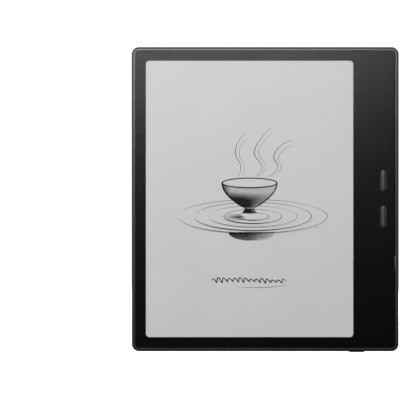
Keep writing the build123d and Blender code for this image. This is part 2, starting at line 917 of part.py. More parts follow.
rod_end_gap = 0.25
with BuildPart() as eject_rod:
    block((pusher_nose_x + rod_width / 2, bay_x[1] - rod_end_gap), rod_y, around(rod_z, rod_width))
    post(pusher_nose_x + rod_width / 2, rod_z, rod_width, rod_y)
eject_rod.part.label = "eject_rod"
export_step(eject_rod.part, "parts/eject_rod.step")

# ---------------------------------------------------------------- page buttons
for name, place in page_places.items():
    with BuildPart() as page_button:
        pill(page_x, place, page_width, page_length, (front_y - page_proud, flange_front))
        fillet(page_button.faces().sort_by(Axis.Y)[0].edges(), page_rounding)
        pill(page_x, place, flange_width, flange_length, (flange_front, flange_back))
    page_button.part.label = f"page_button_{name}"
    export_step(page_button.part, f"parts/page_button_{name}.step")

    with BuildPart() as page_plunger:
        post(page_x, place, plunger_diameter, (flange_back, plunger_tip))
    page_plunger.part.label = f"page_plunger_{name}"
    export_step(page_plunger.part, f"parts/page_plunger_{name}.step")

with BuildPart() as page_switches:
    for place in page_places.values():
        block(around(page_x, switch_size), switch_y, around(place, switch_size))
        post(
            page_x,
            place,
            plunger_diameter + 3 * sliding_gap,
            (switch_y[0], switch_y[0] + switch_bore),
            mode=Mode.SUBTRACT,
        )
page_switches.part.label = "page_switches"
export_step(page_switches.part, "parts/page_switches.step")

# ---------------------------------------------------------------- power button
with BuildPart() as power_button:
    end_slot(power_x, power_y, power_length, power_height, power_cap_z)
    fillet(power_button.faces().sort_by(Axis.Z)[0].edges(), power_rounding)
    block(around(power_x, 2 * power_web), power_web_y, (power_cap_z[1], power_flange_z[1]))
    block(around(power_x, 2 * power_flange), power_web_y, power_flange_z)
power_button.part.label = "power_button"
export_step(power_button.part, "parts/power_button.step")

power_flex_y = (plate_back, plate_back + wide_flex_thickness)
power_switch_y = (power_flex_y[1], power_flex_y[1] + 1.2)
power_switch_z = (power_flange_z[1] + 0.8, power_flange_z[1] + 2.8)
power_plunger_width = 1.6
power_plunger_y = (power_web_y[0] + 0.2, power_web_y[1] - 0.05)
power_plunger_reach = 0.3
power_bore = power_plunger_reach + power_travel + touching_gap
with BuildPart() as power_plunger:
    block(
        around(power_x, power_plunger_width),
        power_plunger_y,
        (power_flange_z[1], power_switch_z[0] + power_plunger_reach),
    )
power_plunger.part.label = "power_plunger"
export_step(power_plunger.part, "parts/power_plunger.step")

with BuildPart() as power_switch:
    block(around(power_x, power_switch_length), power_switch_y, power_switch_z)
    block(
        around(power_x, power_plunger_width + 2 * sliding_gap),
        inset(power_plunger_y, -sliding_gap / 2),
        (power_switch_z[0], power_switch_z[0] + power_bore),
        mode=Mode.SUBTRACT,
    )
power_switch.part.label = "power_switch"
export_step(power_switch.part, "parts/power_switch.step")

# Under the switch, over the rib, up the grip bay and onto the back of the board
power_run_z = (power_switch_z[0] + 0.4, power_switch_z[1] + 0.4)
power_step_z = (board_z[0] - 0.2, board_z[0] - touching_gap)
power_pad_y = (board_back, board_back + wide_flex_thickness)
with BuildPart() as power_flex:
    block(around(power_x, 5.0), power_flex_y, (power_switch_z[0] - 0.3, power_run_z[1]))
    block((power_x, power_tail_x[1]), power_flex_y, power_run_z)
    block(power_tail_x, power_flex_y, (power_run_z[0], power_step_z[1]))
    block(power_tail_x, (power_flex_y[0], power_pad_y[1]), power_step_z)
    block(power_tail_x, power_pad_y, (power_step_z[0], board_z[0] + 3.5))
power_flex.part.label = "power_flex"
export_step(power_flex.part, "parts/power_flex.step")

# ---------------------------------------------------------------- sound
for name, speaker_z in (("upper", upper_speaker_z), ("lower", lower_speaker_z)):
    with BuildPart() as speaker:
        slab(speaker_x, speaker_z, speaker_y, speaker_corner)
        # Shallow round-ended recess of the diaphragm, towards the back
        pill(
            sum(speaker_x) / 2,
            sum(speaker_z) / 2,
            speaker_width - 2 * speaker_rim,
            speaker_length - 2 * speaker_rim,
            (speaker_y[1] - diaphragm_depth, speaker_y[1]),
            mode=Mode.SUBTRACT,
        )
        # Front slot that lets the sound out to the grille
        block(
            (speaker_x[1] - sound_slot_depth, speaker_x[1]),
            around(sum(speaker_y) / 2, grille_hole + 2 * sliding_gap),
            around(sum(speaker_z) / 2, (grille_count - 1) * grille_pitch + grille_hole),
            mode=Mode.SUBTRACT,
        )
    speaker.part.label = f"speaker_{name}"
    export_step(speaker.part, f"parts/speaker_{name}.step")

with BuildPart() as speaker_meshes:
    for speaker_z in (upper_speaker_z, lower_speaker_z):
        block(
            (bay_x[1] - mesh_thickness, bay_x[1]),
            around(sum(speaker_y) / 2, grille_hole + 2 * mesh_margin),
            inset(speaker_z, 1.0),
        )
speaker_meshes.part.label = "speaker_meshes"
export_step(speaker_meshes.part, "parts/speaker_meshes.step")

microphone_right = board_x[1] - microphone_setback
microphone_x = (microphone_right - microphone_width, microphone_right)
microphone_y = (board_back, board_back + microphone_height)
with BuildPart() as microphone:
    block(microphone_x, microphone_y, around(microphone_z, microphone_size))
microphone.part.label = "microphone"
export_step(microphone.part, "parts/microphone.step")

with BuildPart() as microphone_gasket:
    block((microphone_x[1], bay_x[1]), microphone_y, around(microphone_z, microphone_size))
    side_hole(
        sum(microphone_y) / 2,
        microphone_z,
        microphone_hole,
        (microphone_x[1], bay_x[1]),
    )
microphone_gasket.part.label = "microphone_gasket"
export_step(microphone_gasket.part, "parts/microphone_gasket.step")

# ---------------------------------------------------------------- antenna and magnets
antenna_y = (cover_inner - wide_flex_thickness, cover_inner)
antenna_left = 20.0
antenna_end_gap = 1.1
antenna_height = 5.65
antenna_top = bay_z[1] - antenna_end_gap
antenna_z = (antenna_top - antenna_height, antenna_top)
with BuildPart() as wifi_antenna:
    block((antenna_left, antenna_tail_x[1]), antenna_y, antenna_z)
    block(antenna_tail_x, antenna_y, (antenna_spring_z[0] - 0.3, antenna_z[1]))
wifi_antenna.part.label = "wifi_antenna"
export_step(wifi_antenna.part, "parts/wifi_antenna.step")

spring_x = inset(antenna_tail_x, 0.7)
spring_y = (board_back, antenna_y[0])
with BuildPart() as antenna_spring:
    block(spring_x, (spring_y[0], spring_y[0] + sheet_metal), antenna_spring_z)
    block(spring_x, (spring_y[1] - sheet_metal, spring_y[1]), antenna_spring_z)
    block(spring_x, spring_y, (antenna_spring_z[0], antenna_spring_z[0] + sheet_metal))
antenna_spring.part.label = "antenna_spring"
export_step(antenna_spring.part, "parts/antenna_spring.step")

# Four bar magnets that hold a sleeve case
magnet_x = (bay_x[0] + 1.75, bay_x[0] + 4.75)
magnet_length = 14.0
magnet_depth = 1.5
with BuildPart() as case_magnets:
    for place in (-35.0, -17.0, 17.0, 35.0):
        block(magnet_x, (plate_back, plate_back + magnet_depth), around(place, magnet_length))
case_magnets.part.label = "case_magnets"
export_step(case_magnets.part, "parts/case_magnets.step")
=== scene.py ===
import math
import random

import bmesh
import bpy
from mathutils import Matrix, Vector, noise


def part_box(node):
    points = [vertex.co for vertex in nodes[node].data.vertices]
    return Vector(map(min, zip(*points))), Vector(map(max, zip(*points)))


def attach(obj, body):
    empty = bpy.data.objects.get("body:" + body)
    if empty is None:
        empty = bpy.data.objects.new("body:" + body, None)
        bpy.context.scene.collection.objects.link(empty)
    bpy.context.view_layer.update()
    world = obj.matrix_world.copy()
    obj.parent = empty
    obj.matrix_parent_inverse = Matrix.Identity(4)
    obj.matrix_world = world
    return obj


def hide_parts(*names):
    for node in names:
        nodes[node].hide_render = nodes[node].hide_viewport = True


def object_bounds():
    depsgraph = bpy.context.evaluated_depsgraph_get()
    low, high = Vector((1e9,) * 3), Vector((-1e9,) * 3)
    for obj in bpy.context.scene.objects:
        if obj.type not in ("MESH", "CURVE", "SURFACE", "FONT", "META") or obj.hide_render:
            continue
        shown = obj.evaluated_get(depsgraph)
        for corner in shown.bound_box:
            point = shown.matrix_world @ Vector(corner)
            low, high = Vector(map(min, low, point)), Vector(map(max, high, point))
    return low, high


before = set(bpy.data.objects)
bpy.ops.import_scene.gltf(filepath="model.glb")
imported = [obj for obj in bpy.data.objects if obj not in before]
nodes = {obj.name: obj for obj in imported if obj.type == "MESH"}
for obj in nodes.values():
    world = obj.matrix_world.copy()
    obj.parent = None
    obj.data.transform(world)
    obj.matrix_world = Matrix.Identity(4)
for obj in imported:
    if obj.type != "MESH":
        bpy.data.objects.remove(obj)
cad_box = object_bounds()
MM = 0.001
body_radius = 3.7 * MM  # corner radius of the housing's outline, seen from the front


# ------------------------------------------------------------------ node helpers
def new_material(name):
    """An empty node material and its Principled shader."""
    mat = bpy.data.materials.new(name)
    mat.use_nodes = True
    tree = mat.node_tree
    tree.nodes.clear()
    out = tree.nodes.new("ShaderNodeOutputMaterial")
    shader = tree.nodes.new("ShaderNodeBsdfPrincipled")
    tree.links.new(shader.outputs["BSDF"], out.inputs["Surface"])
    return mat, tree, shader


def coords(tree, stretch=(1, 1, 1)):
    """Object coordinates, in metres, stretched along the axes."""
    where = tree.nodes.new("ShaderNodeTexCoord")
    mapping = tree.nodes.new("ShaderNodeMapping")
    mapping.inputs["Scale"].default_value = stretch
    tree.links.new(where.outputs["Object"], mapping.inputs["Vector"])
    return mapping.outputs["Vector"]


def noise_of(tree, vector, pitch, detail=3.0, roughness=0.55):
    """Noise whose blotches are about pitch metres across."""
    node = tree.nodes.new("ShaderNodeTexNoise")
    node.inputs["Scale"].default_value = 1 / pitch
    node.inputs["Detail"].default_value = detail
    node.inputs["Roughness"].default_value = roughness
    tree.links.new(vector, node.inputs["Vector"])
    return node.outputs["Fac"]


def cells_of(tree, vector, pitch):
    """Distance to the edge of cells about pitch metres across."""
    node = tree.nodes.new("ShaderNodeTexVoronoi")
    node.feature = "DISTANCE_TO_EDGE"
    node.inputs["Scale"].default_value = 1 / pitch
    tree.links.new(vector, node.inputs["Vector"])
    return node.outputs["Distance"]


def ramp(tree, value, stops):
    """Colours along a value, from (position, colour) stops."""
    node = tree.nodes.new("ShaderNodeValToRGB")
    band = node.color_ramp
    while len(band.elements) > 1:
        band.elements.remove(band.elements[-1])
    band.elements[0].position = stops[0][0]
    band.elements[0].color = (*stops[0][1], 1)
    for position, colour in stops[1:]:
        band.elements.new(position).color = (*colour, 1)
    tree.links.new(value, node.inputs["Fac"])
    return node.outputs["Color"]


def spread(tree, value, low, high, start=0.3, end=0.7):
    """A value carried from start..end to low..high."""
    node = tree.nodes.new("ShaderNodeMapRange")
    node.inputs["From Min"].default_value = start
    node.inputs["From Max"].default_value = end
    node.inputs["To Min"].default_value = low
    node.inputs["To Max"].default_value = high
    tree.links.new(value, node.inputs["Value"])
    return node.outputs["Result"]


def maths(tree, operation, a, b):
    """One sum on two values, each a link or a number."""
    node = tree.nodes.new("ShaderNodeMath")
    node.operation = operation
    for socket, value in zip(node.inputs, (a, b)):
        if isinstance(value, (int, float)):
            socket.default_value = value
        else:
            tree.links.new(value, socket)
    return node.outputs["Value"]


def weighted(tree, *parts):
    """The sum of some values, each given with its weight."""
    total = None
    for value, weight in parts:
        part = maths(tree, "MULTIPLY", value, weight)
        total = part if total is None else maths(tree, "ADD", total, part)
    return total


def bump(tree, shader, height, depth, strength=1.0):
    """Bump of a real depth, in metres, for a height from 0 to 1."""
    node = tree.nodes.new("ShaderNodeBump")
    node.inputs["Strength"].default_value = strength
    node.inputs["Distance"].default_value = depth
    tree.links.new(height, node.inputs["Height"])
    tree.links.new(node.outputs["Normal"], shader.inputs["Normal"])


def grained(name, dark, light, pitch, rough, metallic=0.0, depth=0.0, stretch=(1, 1, 1)):
    """A fine-grained surface: two close tones, uneven gloss and a shallow relief."""
    mat, tree, shader = new_material(name)
    vector = coords(tree, stretch)
    grain = noise_of(tree, vector, pitch)
    broad = noise_of(tree, vector, pitch * 9, 2.0)
    tone = weighted(tree, (grain, 0.7), (broad, 0.3))
    tree.links.new(ramp(tree, tone, [(0.36, dark), (0.64, light)]), shader.inputs["Base Color"])
    tree.links.new(spread(tree, broad, rough[0], rough[1]), shader.inputs["Roughness"])
    shader.inputs["Metallic"].default_value = metallic
    shader.inputs["IOR"].default_value = 1.5
    if depth:
        bump(tree, shader, grain, depth)
    return mat


def grey(value):
    """A neutral tone."""
    return (value, value, value)


# ------------------------------------------------------------------ materials
def edge_depth(tree, vector, box, radius):
    """How far a point lies inside the rounded outline of a box, seen from the front."""
    split = tree.nodes.new("ShaderNodeSeparateXYZ")
    tree.links.new(vector, split.inputs["Vector"])
    squares = []
    for axis, low, high in (("X", box[0].x, box[1].x), ("Z", box[0].z, box[1].z)):
        away = maths(tree, "ABSOLUTE", maths(tree, "SUBTRACT", split.outputs[axis], (low + high) / 2), 0.0)
        past = maths(tree, "MAXIMUM", maths(tree, "SUBTRACT", away, (high - low) / 2 - radius), 0.0)
        squares.append(maths(tree, "MULTIPLY", past, past))
    reach = maths(tree, "SQRT", maths(tree, "ADD", squares[0], squares[1]), 0.0)
    return maths(tree, "SUBTRACT", radius, reach)


def coated_metal_with_painted_highlight(name, side, face, rough, node, band):
    """Fine blasted and anodised metal, with a painted highlight: a paler band round the node's flat face."""
    mat, tree, shader = new_material(name)
    vector = coords(tree)
    grain = noise_of(tree, vector, 0.14 * MM)
    broad = noise_of(tree, vector, 1.3 * MM, 2.0)
    tone = weighted(tree, (grain, 0.7), (broad, 0.3))
    facing = tree.nodes.new("ShaderNodeNewGeometry")
    split = tree.nodes.new("ShaderNodeSeparateXYZ")
    tree.links.new(facing.outputs["True Normal"], split.inputs["Vector"])
    flat = spread(tree, maths(tree, "ABSOLUTE", split.outputs["Y"], 0.0), 0.0, 1.0, 0.80, 0.97)
    depth = edge_depth(tree, vector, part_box(node), body_radius)
    # Painted highlight: share is 1 on flat faces within band of the outline, where the paler tone B paints
    # the rim's shine.
    share = maths(tree, "MULTIPLY", flat, spread(tree, depth, 1.0, 0.0, band, band + 0.12 * MM))
    mix = tree.nodes.new("ShaderNodeMix")
    mix.data_type = "RGBA"
    tree.links.new(share, mix.inputs["Factor"])
    for socket, albedo, swing in (("A", side, 0.14), ("B", face, 0.10)):
        stops = [(0.36, grey(albedo * (1 - swing))), (0.64, grey(albedo * (1 + swing)))]
        tree.links.new(ramp(tree, tone, stops), mix.inputs[socket])
    tree.links.new(mix.outputs["Result"], shader.inputs["Base Color"])
    polish = maths(tree, "MULTIPLY", flat, 0.16)
    gloss = maths(tree, "SUBTRACT", spread(tree, broad, rough[0], rough[1]), polish)
    tree.links.new(gloss, shader.inputs["Roughness"])
    shader.inputs["Metallic"].default_value = 0.8
    bump(tree, shader, grain, 0.002 * MM)
    return mat


def button_satin():
    """Moulded buttons with a soft satin skin."""
    return grained("button_satin", grey(0.020), grey(0.027), 0.10 * MM, (0.36, 0.42), depth=0.002 * MM)


def black_print():
    """Black ink bonded under the matte lens."""
    mat, tree, shader = new_material("black_print")
    vector = coords(tree)
    fine = noise_of(tree, vector, 0.10 * MM, 2.0)
    broad = noise_of(tree, vector, 9 * MM, 2.0)
    stops = [(0.35, grey(0.0002)), (0.65, grey(0.0006))]
    tree.links.new(ramp(tree, fine, stops), shader.inputs["Base Color"])
    tree.links.new(spread(tree, broad, 0.205, 0.218), shader.inputs["Roughness"])
    shader.inputs["IOR"].default_value = 1.348
    bump(tree, shader, fine, 0.0006 * MM)
    return mat


def clear_layer(name, colour, alpha, rough):
    """A clear sheet: a lone shader with one plain alpha, and grain in its gloss."""
    mat, tree, shader = new_material(name)
    fine = noise_of(tree, coords(tree), 0.2 * MM, 2.0)
    tree.links.new(spread(tree, fine, rough[0], rough[1]), shader.inputs["Roughness"])
    shader.inputs["Base Color"].default_value = (*colour, 1)
    shader.inputs["Alpha"].default_value = alpha
    shader.inputs["IOR"].default_value = 1.5
    return mat


def paper(name):
    """Electrophoretic film: warm grey with a fine capsule grain."""
    mat, tree, shader = new_material(name)
    vector = coords(tree)
    grain = noise_of(tree, vector, 0.16 * MM, 2.0)
    cloud = noise_of(tree, vector, 30 * MM, 1.0)
    tone = weighted(tree, (grain, 0.55), (cloud, 0.45))
    tree.links.new(ramp(tree, tone, [(0.30, grey(0.690)), (0.70, grey(0.738))]), shader.inputs["Base Color"])
    tree.links.new(spread(tree, grain, 0.50, 0.60), shader.inputs["Roughness"])
    bump(tree, shader, grain, 0.002 * MM)
    return mat


def graphite(name, dark, light):
    """A drawn tone, broken up by the grain of the film."""
    mat, tree, shader = new_material(name)
    vector = coords(tree)
    grain = noise_of(tree, vector, 0.22 * MM, 3.0)
    tree.links.new(ramp(tree, grain, [(0.38, grey(dark)), (0.66, grey(light))]), shader.inputs["Base Color"])
    tree.links.new(spread(tree, grain, 0.55, 0.65), shader.inputs["Roughness"])
    shader.inputs["Specular IOR Level"].default_value = 0.10
    return mat


def leather(name):
    """Split-grain leather: rounded pebbles, painted shade in the creases and a dull sheen."""
    mat, tree, shader = new_material(name)
    vector = coords(tree)
    warp = tree.nodes.new("ShaderNodeTexNoise")
    warp.inputs["Scale"].default_value = 1 / (1.6 * MM)
    warp.inputs["Detail"].default_value = 2.0
    tree.links.new(vector, warp.inputs["Vector"])
    push = tree.nodes.new("ShaderNodeVectorMath")
    push.operation = "MULTIPLY_ADD"
    push.inputs[1].default_value = (0.9 * MM, 0.9 * MM, 0.9 * MM)
    tree.links.new(warp.outputs["Color"], push.inputs[0])
    tree.links.new(vector, push.inputs[2])
    warped = push.outputs["Vector"]
    crease = cells_of(tree, warped, 0.95 * MM)
    small = cells_of(tree, warped, 0.42 * MM)
    blotch = noise_of(tree, vector, 1.5 * MM, 3.0)
    broad = noise_of(tree, vector, 16 * MM, 2.0)
    pebble = spread(tree, crease, 0.0, 1.0, 0.0, 0.30)
    fine = spread(tree, small, 0.0, 1.0, 0.0, 0.35)
    height = weighted(tree, (pebble, 0.62), (fine, 0.38))
    # Painted shade: low height in the creases darkens the tone; blotch and broad add the hide's own random
    # tone.
    tone = weighted(tree, (height, 0.30), (blotch, 0.48), (broad, 0.22))
    colours = [
        (0.30, (0.0040, 0.0042, 0.0050)),
        (0.50, (0.0090, 0.0094, 0.0112)),
        (0.72, (0.019, 0.0197, 0.0228)),
    ]
    tree.links.new(ramp(tree, tone, colours), shader.inputs["Base Color"])
    tree.links.new(spread(tree, height, 0.40, 0.31, 0.0, 1.0), shader.inputs["Roughness"])
    shader.inputs["Specular Tint"].default_value = (0.92, 0.95, 1.0, 1)
    shader.inputs["Specular IOR Level"].default_value = 0.34
    bump(tree, shader, height, 0.012 * MM, 0.9)
    fine_bump = shader.inputs["Normal"].links[0].from_node
    hide = tree.nodes.new("ShaderNodeBump")
    hide.inputs["Distance"].default_value = 0.20 * MM
    tree.links.new(noise_of(tree, warped, 1.25 * MM, 3.0, 0.6), hide.inputs["Height"])
    tree.links.new(hide.outputs["Normal"], fine_bump.inputs["Normal"])
    return mat


def circuit(name, board, track):
    """Solder mask with a faint grid of tracks under it."""
    mat, tree, shader = new_material(name)
    vector = coords(tree)
    brick = tree.nodes.new("ShaderNodeTexBrick")
    brick.inputs["Scale"].default_value = 1 / (2.4 * MM)
    brick.inputs["Mortar Size"].default_value = 0.035
    brick.inputs["Color1"].default_value = (*board, 1)
    brick.inputs["Color2"].default_value = (*[c * 1.25 for c in board], 1)
    brick.inputs["Mortar"].default_value = (*track, 1)
    turn = tree.nodes.new("ShaderNodeVectorRotate")
    turn.inputs["Axis"].default_value = (1, 0, 0)
    turn.inputs["Angle"].default_value = math.pi / 2
    tree.links.new(vector, turn.inputs["Vector"])
    tree.links.new(turn.outputs["Vector"], brick.inputs["Vector"])
    tree.links.new(brick.outputs["Color"], shader.inputs["Base Color"])
    tree.links.new(spread(tree, brick.outputs["Fac"], 0.34, 0.48, 0.0, 1.0), shader.inputs["Roughness"])
    bump(tree, shader, brick.outputs["Fac"], 0.02 * MM)
    return mat


def woven(name, dark, light, pitch):
    """A fine wire or fabric mesh: crossing ribs with dark holes between them."""
    mat, tree, shader = new_material(name)
    vector = coords(tree)
    split = tree.nodes.new("ShaderNodeSeparateXYZ")
    tree.links.new(vector, split.inputs["Vector"])
    waves = []
    for axis in ("Y", "Z"):
        phase = maths(tree, "MULTIPLY", split.outputs[axis], 2 * math.pi / pitch)
        waves.append(maths(tree, "ABSOLUTE", maths(tree, "SINE", phase, 0.0), 0.0))
    height = maths(tree, "MAXIMUM", waves[0], waves[1])
    tree.links.new(ramp(tree, height, [(0.55, dark), (0.85, light)]), shader.inputs["Base Color"])
    tree.links.new(spread(tree, height, 0.7, 0.4, 0.0, 1.0), shader.inputs["Roughness"])
    bump(tree, shader, height, 0.03 * MM)
    return mat


def foil(name):
    """Laminated pouch foil with shallow wrinkles."""
    mat, tree, shader = new_material(name)
    vector = coords(tree)
    wrinkle = noise_of(tree, vector, 7 * MM, 4.0)
    tree.links.new(ramp(tree, wrinkle, [(0.35, grey(0.42)), (0.65, grey(0.56))]), shader.inputs["Base Color"])
    tree.links.new(spread(tree, wrinkle, 0.30, 0.44), shader.inputs["Roughness"])
    shader.inputs["Metallic"].default_value = 0.85
    bump(tree, shader, wrinkle, 0.15 * MM)
    return mat


# Frame and cover both get a painted highlight: a paler band round their flat faces, near the outline.
frame_coat_painted_highlight = coated_metal_with_painted_highlight("frame_coating_painted_highlight", 0.046, 0.080, (0.39, 0.43), "mid_frame", 1.36 * MM)
cover_coat_painted_highlight = coated_metal_with_painted_highlight("cover_coating_painted_highlight", 0.055, 0.130, (0.48, 0.52), "rear_cover", 1.8 * MM)
button_finish = button_satin()
print_finish = black_print()
lens_finish = clear_layer("matte_lens", (0.0, 0.0, 0.0), 0.06, (0.20, 0.22))
film_finish = clear_layer("clear_film", (0.80, 0.86, 0.88), 0.30, (0.12, 0.22))
page_finish = paper("page_film")
leather_finish = leather("pebbled_leather")
steel = grained("brushed_steel", grey(0.42), grey(0.58), 0.15 * MM, (0.24, 0.38), metallic=1.0,
                depth=0.002 * MM, stretch=(1, 1, 0.08))
tin = grained("tinned_lid", grey(0.50), grey(0.62), 0.4 * MM, (0.30, 0.42), metallic=1.0, depth=0.004 * MM)
nickel = grained("nickel_plate", (0.50, 0.48, 0.44), (0.60, 0.58, 0.54), 0.5 * MM, (0.18, 0.30), metallic=1.0)
gold = grained("gold_plate", (0.62, 0.42, 0.14), (0.80, 0.56, 0.22), 0.1 * MM, (0.22, 0.34), metallic=1.0)
polyimide = grained("flex_film", (0.30, 0.13, 0.02), (0.42, 0.20, 0.035), 0.5 * MM, (0.34, 0.46),
                    depth=0.004 * MM, stretch=(1, 1, 0.3))
epoxy = grained("chip_epoxy", grey(0.012), grey(0.024), 0.12 * MM, (0.42, 0.56), depth=0.004 * MM)
moulded = grained("moulded_black", grey(0.016), grey(0.028), 0.2 * MM, (0.40, 0.52), depth=0.004 * MM)
cream = grained("socket_resin", (0.50, 0.46, 0.38), (0.60, 0.56, 0.47), 0.3 * MM, (0.40, 0.52),
                depth=0.003 * MM)
rubber = grained("soft_rubber", grey(0.018), grey(0.030), 0.3 * MM, (0.62, 0.76), depth=0.008 * MM)
white_tape = grained("adhesive_tape", grey(0.55), grey(0.68), 0.6 * MM, (0.48, 0.60), depth=0.004 * MM)
black_tape = grained("foam_adhesive", grey(0.010), grey(0.020), 0.25 * MM, (0.66, 0.80), depth=0.008 * MM)
phosphor = grained("led_phosphor", (0.72, 0.60, 0.22), (0.84, 0.74, 0.36), 0.2 * MM, (0.30, 0.42))
thin_glass = grained("backplane_glass", (0.10, 0.13, 0.12), (0.15, 0.19, 0.17), 0.8 * MM, (0.10, 0.18))
green_board = circuit("mainboard_mask", (0.010, 0.045, 0.022), (0.022, 0.085, 0.040))
black_board = circuit("protection_mask", (0.012, 0.013, 0.014), (0.035, 0.036, 0.040))
wire_mesh = woven("speaker_cloth", grey(0.008), grey(0.060), 0.24 * MM)
pouch = foil("pouch_foil")

finishes = {
    "mid_frame": frame_coat_painted_highlight,
    "rear_cover": cover_coat_painted_highlight,
    "cover_lens": lens_finish,
    "lens_mask": print_finish,
    "lens_adhesive": black_tape,
    "touch_sensor": film_finish,
    "light_guide": film_finish,
    "frontlight_leds": phosphor,
    "frontlight_flex": polyimide,
    "eink_film": page_finish,
    "eink_backplane": thin_glass,
    "display_driver_chips": epoxy,
    "display_flex": polyimide,
    "touch_flex": polyimide,
    "display_tape": white_tape,
    "battery": pouch,
    "battery_tape": white_tape,
    "battery_protection_board": black_board,
    "battery_flex": polyimide,
    "battery_connector": cream,
    "mainboard": green_board,
    "board_screws": steel,
    "processor_shield": tin,
    "power_shield": tin,
    "board_chips": epoxy,
    "board_connectors": cream,
    "usb_port_shell": steel,
    "usb_port_tongue": moulded,
    "card_cage": steel,
    "card_tray": frame_coat_painted_highlight,
    "eject_slider": steel,
    "eject_lever": steel,
    "eject_rod": steel,
    "page_button_upper": button_finish,
    "page_button_lower": button_finish,
    "page_plunger_upper": rubber,
    "page_plunger_lower": rubber,
    "page_switches": tin,
    "power_button": button_finish,
    "power_plunger": rubber,
    "power_switch": tin,
    "power_flex": polyimide,
    "speaker_upper": moulded,
    "speaker_lower": moulded,
    "speaker_meshes": wire_mesh,
    "microphone": tin,
    "microphone_gasket": rubber,
    "wifi_antenna": polyimide,
    "antenna_spring": gold,
    "case_magnets": nickel,
}
for name, finish in finishes.items():
    node = nodes[name]
    node.data.materials.clear()
    node.data.materials.append(finish)


# ------------------------------------------------------------------ mesh helpers
def mesh_object(name, bm, *materials):
    """The bmesh as an object in the scene, with its normals facing out."""
    bmesh.ops.recalc_face_normals(bm, faces=bm.faces)
    mesh = bpy.data.meshes.new(name)
    bm.to_mesh(mesh)
    bm.free()
    for mat in materials:
        mesh.materials.append(mat)
    obj = bpy.data.objects.new(name, mesh)
    bpy.context.scene.collection.objects.link(obj)
    return obj


def rounded_outline(low, high, radius, pitch):
    """Points around a rounded rectangle in X and Z, anticlockwise, about pitch apart."""
    corners = [
        (high[0] - radius, high[1] - radius, 0),
        (low[0] + radius, high[1] - radius, 90),
        (low[0] + radius, low[1] + radius, 180),
        (high[0] - radius, low[1] + radius, 270),
    ]
    arc_steps = 8
    points = []
    for n, (x, z, start) in enumerate(corners):
        for step in range(arc_steps + 1):
            angle = math.radians(start + 90 * step / arc_steps)
            points.append((x + radius * math.cos(angle), z + radius * math.sin(angle)))
        nx, nz, nstart = corners[(n + 1) % 4]
        angle = math.radians(nstart)
        target = (nx + radius * math.cos(angle), nz + radius * math.sin(angle))
        here = points[-1]
        gap = math.dist(here, target)
        steps = max(1, round(gap / pitch))
        for step in range(1, steps):
            share = step / steps
            points.append((here[0] + (target[0] - here[0]) * share,
                           here[1] + (target[1] - here[1]) * share))
    return points


# ------------------------------------------------------------------ leather panels
def corner_distance(x, z, low, high, radius):
    """How far (x, z) lies inside a rounded rectangle."""
    dx = abs(x - (low[0] + high[0]) / 2) - (high[0] - low[0]) / 2 + radius
    dz = abs(z - (low[1] + high[1]) / 2) - (high[1] - low[1]) / 2 + radius
    outside = math.hypot(max(dx, 0), max(dz, 0))
    return radius - outside - min(max(dx, dz), 0)


def squeeze(x, z, low, high, radius):
    """Moves a point of the square grid onto the rounded outline where it lies in a corner."""
    cx = min(max(x, low[0] + radius), high[0] - radius)
    cz = min(max(z, low[1] + radius), high[1] - radius)
    dx, dz = x - cx, z - cz
    reach = max(abs(dx), abs(dz))
    if reach == 0 or dx == 0 or dz == 0:
        return x, z
    scale = reach / math.hypot(dx, dz)
    return cx + dx * scale, cz + dz * scale


def steps_along(low, high, pitch, edge_steps):
    """Grid lines that crowd towards both ends, where the edge rolls over."""
    inner_low, inner_high = low + edge_steps[-1], high - edge_steps[-1]
    count = max(2, round((inner_high - inner_low) / pitch))
    middle = [inner_low + (inner_high - inner_low) * n / count for n in range(count + 1)]
    return [low + e for e in edge_steps[:-1]] + middle + [high - e for e in reversed(edge_steps[:-1])]


def emblem_press(x, z, centre, half_straight, radius, line):
    """1 on the pressed capsule line, 0 away from it."""
    reach = math.hypot(x - centre[0], max(0.0, abs(z - centre[1]) - half_straight))
    off = abs(reach - (radius - line / 2))
    edge = 0.18 * MM
    return max(0.0, min(1.0, (line / 2 + edge - off) / edge))


